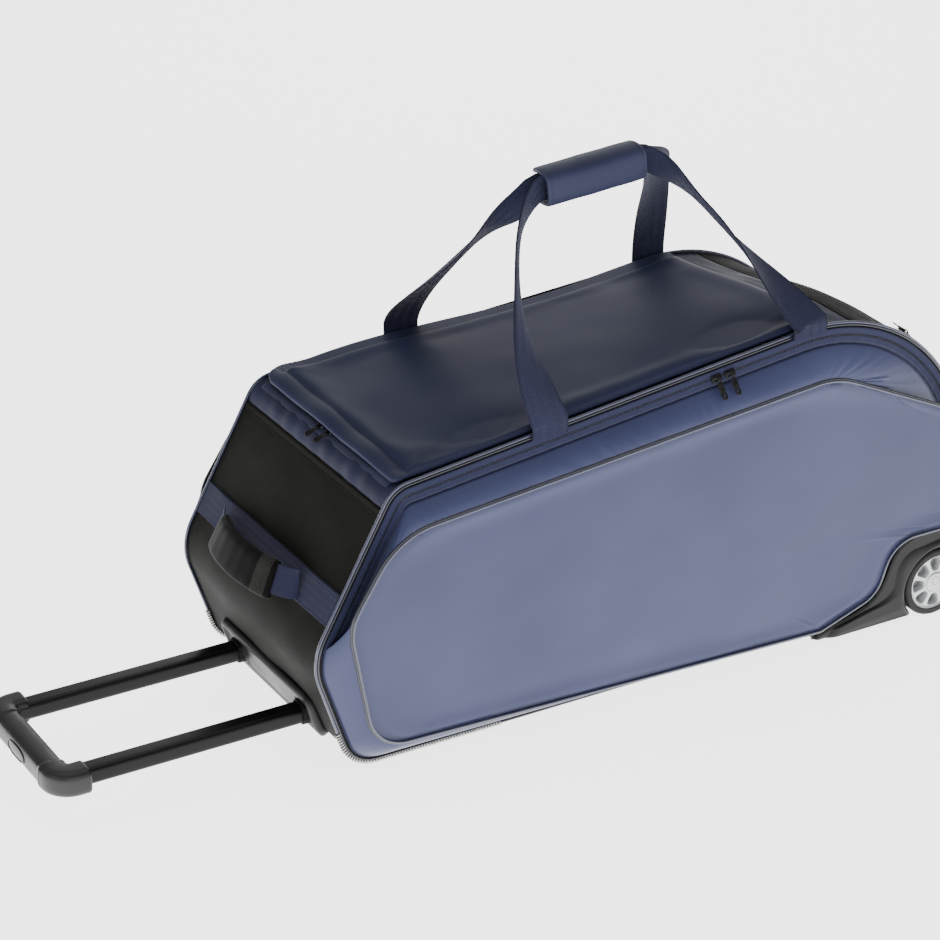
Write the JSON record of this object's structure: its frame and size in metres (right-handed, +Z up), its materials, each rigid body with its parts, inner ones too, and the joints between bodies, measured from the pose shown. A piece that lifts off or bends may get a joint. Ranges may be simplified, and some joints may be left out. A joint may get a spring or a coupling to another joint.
{
  "type": "wheeled equipment bag",
  "caption": "Wheeled sports equipment duffel with telescoping pull handle, zipped lid, fold-down side pockets, grab handle and wrapped carry straps.",
  "frame": {"origin": "middle of the whole object's footprint on the floor, with the pull handle drawn out", "axes": "+X from the pull handle towards the wheels, +Z up, +Y towards the far side"},
  "size_m": [1.2061, 0.374, 0.6279],
  "materials": {
    "navy_coated": "satin coated",
    "navy_pocket": "satin coated",
    "navy_webbing": "ribbed webbing",
    "black_fabric": "coarse weave",
    "black_plastic": "fine texture",
    "black_tube": "black anodised",
    "piping_white": "satin",
    "zip_metal": "black",
    "steel": "bright",
    "tyre_rubber": "matte",
    "hub_silver": "silver paint"
  },
  "bodies": {
    "shell": {"base_panel": "black_fabric", "handle_end_panel": "black_fabric", "top_frame": "navy_coated", "wheel_end_panel": "black_fabric", "near_side_wall": "navy_pocket", "far_side_wall": "navy_pocket", "near_pocket_base": "navy_pocket", "far_pocket_base": "navy_pocket", "near_edge_piping": "piping_white", "far_edge_piping": "piping_white", "near_base_edge_coil": "black_plastic", "far_base_edge_coil": "black_plastic", "near_pocket_zip_tape": "navy_webbing", "far_pocket_zip_tape": "navy_webbing", "lid_zip_tape": "navy_webbing", "end_pocket_zip_tape": "zip_metal", "end_webbing": "navy_webbing", "handle_bezel": "black_plastic", "near_guide_tube": "steel", "far_guide_tube": "steel", "base_foot": "black_plastic", "near_wheel_housing": "black_plastic", "far_wheel_housing": "black_plastic", "near_axle": "steel", "far_axle": "steel"},
    "pull_handle": {"pull_grip": "black_plastic", "near_handle_tube": "black_tube", "far_handle_tube": "black_tube"},
    "release": {"release_button": "black_plastic", "push_rods": "steel"},
    "near_pin": {"near_lock_pin": "steel"},
    "far_pin": {"far_lock_pin": "steel"},
    "near_wheel": {"near_tyre": "tyre_rubber", "near_hub": "hub_silver", "near_wheel_bearing": "steel"},
    "far_wheel": {"far_tyre": "tyre_rubber", "far_hub": "hub_silver", "far_wheel_bearing": "steel"},
    "lid_flap": {"lid": "navy_coated"},
    "near_strap": {"near_carry_strap": "navy_webbing", "strap_wrap": "navy_coated"},
    "far_strap": {"far_carry_strap": "navy_webbing"},
    "grab": {"grab_handle": "black_fabric"},
    "near_flap": {"near_pocket_flap": "navy_pocket"},
    "far_flap": {"far_pocket_flap": "navy_pocket"},
    "near_zip_a": {"near_pocket_a_slider": "zip_metal"},
    "near_zip_a_pull": {"near_pocket_a_pull": "zip_metal"},
    "near_zip_b": {"near_pocket_b_slider": "zip_metal"},
    "near_zip_b_pull": {"near_pocket_b_pull": "zip_metal"},
    "far_zip_a": {"far_pocket_a_slider": "zip_metal"},
    "far_zip_a_pull": {"far_pocket_a_pull": "zip_metal"},
    "far_zip_b": {"far_pocket_b_slider": "zip_metal"},
    "far_zip_b_pull": {"far_pocket_b_pull": "zip_metal"},
    "lid_zip_a": {"lid_a_slider": "zip_metal"},
    "lid_zip_a_pull": {"lid_a_pull": "zip_metal"},
    "lid_zip_b": {"lid_b_slider": "zip_metal"},
    "lid_zip_b_pull": {"lid_b_pull": "zip_metal"},
    "end_zip": {"end_pocket_slider": "zip_metal"},
    "end_zip_pull": {"end_pocket_pull": "zip_metal"}
  },
  "joints": [
    {"name": "handle_slide", "type": "slide", "parent": "shell", "child": "pull_handle", "axis": [1, 0, 0], "range_m": [0, 0.248]},
    {"name": "button_press", "type": "slide", "parent": "pull_handle", "child": "release", "axis": [1, 0, 0], "range_m": [0, 0.004], "stiffness_N_per_m": 600, "springref_m": -0.002},
    {"name": "near_pin_draw", "type": "slide", "parent": "pull_handle", "child": "near_pin", "axis": [0, 1, 0], "range_m": [0, 0.002]},
    {"name": "far_pin_draw", "type": "slide", "parent": "pull_handle", "child": "far_pin", "axis": [0, -1, 0], "range_m": [0, 0.002]},
    {"name": "near_wheel_spin", "type": "hinge", "parent": "shell", "child": "near_wheel", "pos_m": [0.52666, -0.1625, 0.0445], "axis": [0, 1, 0], "continuous": true},
    {"name": "far_wheel_spin", "type": "hinge", "parent": "shell", "child": "far_wheel", "pos_m": [0.52666, 0.1625, 0.0445], "axis": [0, 1, 0], "continuous": true},
    {"name": "lid_open", "type": "hinge", "parent": "shell", "child": "lid_flap", "pos_m": [0.34403, 0, 0.42062], "axis": [0, 1, 0], "range_deg": [0, 75]},
    {"name": "near_strap_swing", "type": "hinge", "parent": "shell", "child": "near_strap", "pos_m": [0.15173, -0.1691, 0.38994], "axis": [0.9928, 0, 0.1196], "range_deg": [0, 138.75]},
    {"name": "far_strap_swing", "type": "hinge", "parent": "shell", "child": "far_strap", "pos_m": [0.15173, 0.1691, 0.38994], "axis": [0.9928, 0, 0.1196], "range_deg": [-138.75, 0]},
    {"name": "grab_swing", "type": "hinge", "parent": "shell", "child": "grab", "pos_m": [-0.29899, 0, 0.21412], "axis": [0, 1, 0], "range_deg": [-8, 25], "stiffness_Nm_per_rad": 1},
    {"name": "near_pocket_open", "type": "hinge", "parent": "shell", "child": "near_flap", "pos_m": [-0.25034, -0.187, 0.174], "axis": [1, 0, 0], "range_deg": [0, 65]},
    {"name": "far_pocket_open", "type": "hinge", "parent": "shell", "child": "far_flap", "pos_m": [-0.25034, 0.187, 0.174], "axis": [1, 0, 0], "range_deg": [-65, 0]},
    {"name": "near_zip_a_run", "type": "slide", "parent": "near_flap", "child": "near_zip_a", "axis": [0.9923, 0, 0.1239], "range_m": [-0.34, 0]},
    {"name": "near_zip_a_pull_swing", "type": "hinge", "parent": "near_zip_a", "child": "near_zip_a_pull", "pos_m": [0.1972, -0.17292, 0.38878], "axis": [0.9923, 0, 0.1239], "range_deg": [-40, 0]},
    {"name": "near_zip_b_run", "type": "slide", "parent": "near_flap", "child": "near_zip_b", "axis": [0.9923, 0, 0.1239], "range_m": [0, 0.075]},
    {"name": "near_zip_b_pull_swing", "type": "hinge", "parent": "near_zip_b", "child": "near_zip_b_pull", "pos_m": [0.21515, -0.17292, 0.39102], "axis": [0.9923, 0, 0.1239], "range_deg": [-40, 0]},
    {"name": "far_zip_a_run", "type": "slide", "parent": "far_flap", "child": "far_zip_a", "axis": [0.9923, 0, 0.1239], "range_m": [-0.34, 0]},
    {"name": "far_zip_a_pull_swing", "type": "hinge", "parent": "far_zip_a", "child": "far_zip_a_pull", "pos_m": [0.1972, 0.17292, 0.38878], "axis": [0.9923, 0, 0.1239], "range_deg": [0, 40]},
    {"name": "far_zip_b_run", "type": "slide", "parent": "far_flap", "child": "far_zip_b", "axis": [0.9923, 0, 0.1239], "range_m": [0, 0.075]},
    {"name": "far_zip_b_pull_swing", "type": "hinge", "parent": "far_zip_b", "child": "far_zip_b_pull", "pos_m": [0.21515, 0.17292, 0.39102], "axis": [0.9923, 0, 0.1239], "range_deg": [0, 40]},
    {"name": "lid_zip_a_run", "type": "slide", "parent": "shell", "child": "lid_zip_a", "axis": [0, 1, 0], "range_m": [0, 0.115]},
    {"name": "lid_zip_a_pull_swing", "type": "hinge", "parent": "lid_zip_a", "child": "lid_zip_a_pull", "pos_m": [-0.20812, 0.012, 0.35586], "axis": [0, 1, 0], "range_deg": [0, 60]},
    {"name": "lid_zip_b_run", "type": "slide", "parent": "shell", "child": "lid_zip_b", "axis": [0, -1, 0], "range_m": [0, 0.115]},
    {"name": "lid_zip_b_pull_swing", "type": "hinge", "parent": "lid_zip_b", "child": "lid_zip_b_pull", "pos_m": [-0.20812, -0.008, 0.35586], "axis": [0, 1, 0], "range_deg": [0, 60]},
    {"name": "end_zip_run", "type": "hinge", "parent": "shell", "child": "end_zip", "pos_m": [0.34054, -0.1457, 0.19655], "axis": [0, 1, 0], "range_deg": [0, 14]},
    {"name": "end_zip_pull_swing", "type": "hinge", "parent": "end_zip", "child": "end_zip_pull", "pos_m": [0.48071, -0.1457, 0.37729], "axis": [0, 1, 0], "range_deg": [0, 60]}
  ],
  "couplings": [
    {"joint": "near_pin_draw", "follows": "button_press", "ratio": 0.5},
    {"joint": "far_pin_draw", "follows": "button_press", "ratio": 0.5},
    {"joint": "near_strap_swing", "follows": "lid_open", "ratio": 1.85},
    {"joint": "far_strap_swing", "follows": "lid_open", "ratio": -1.85}
  ]
}
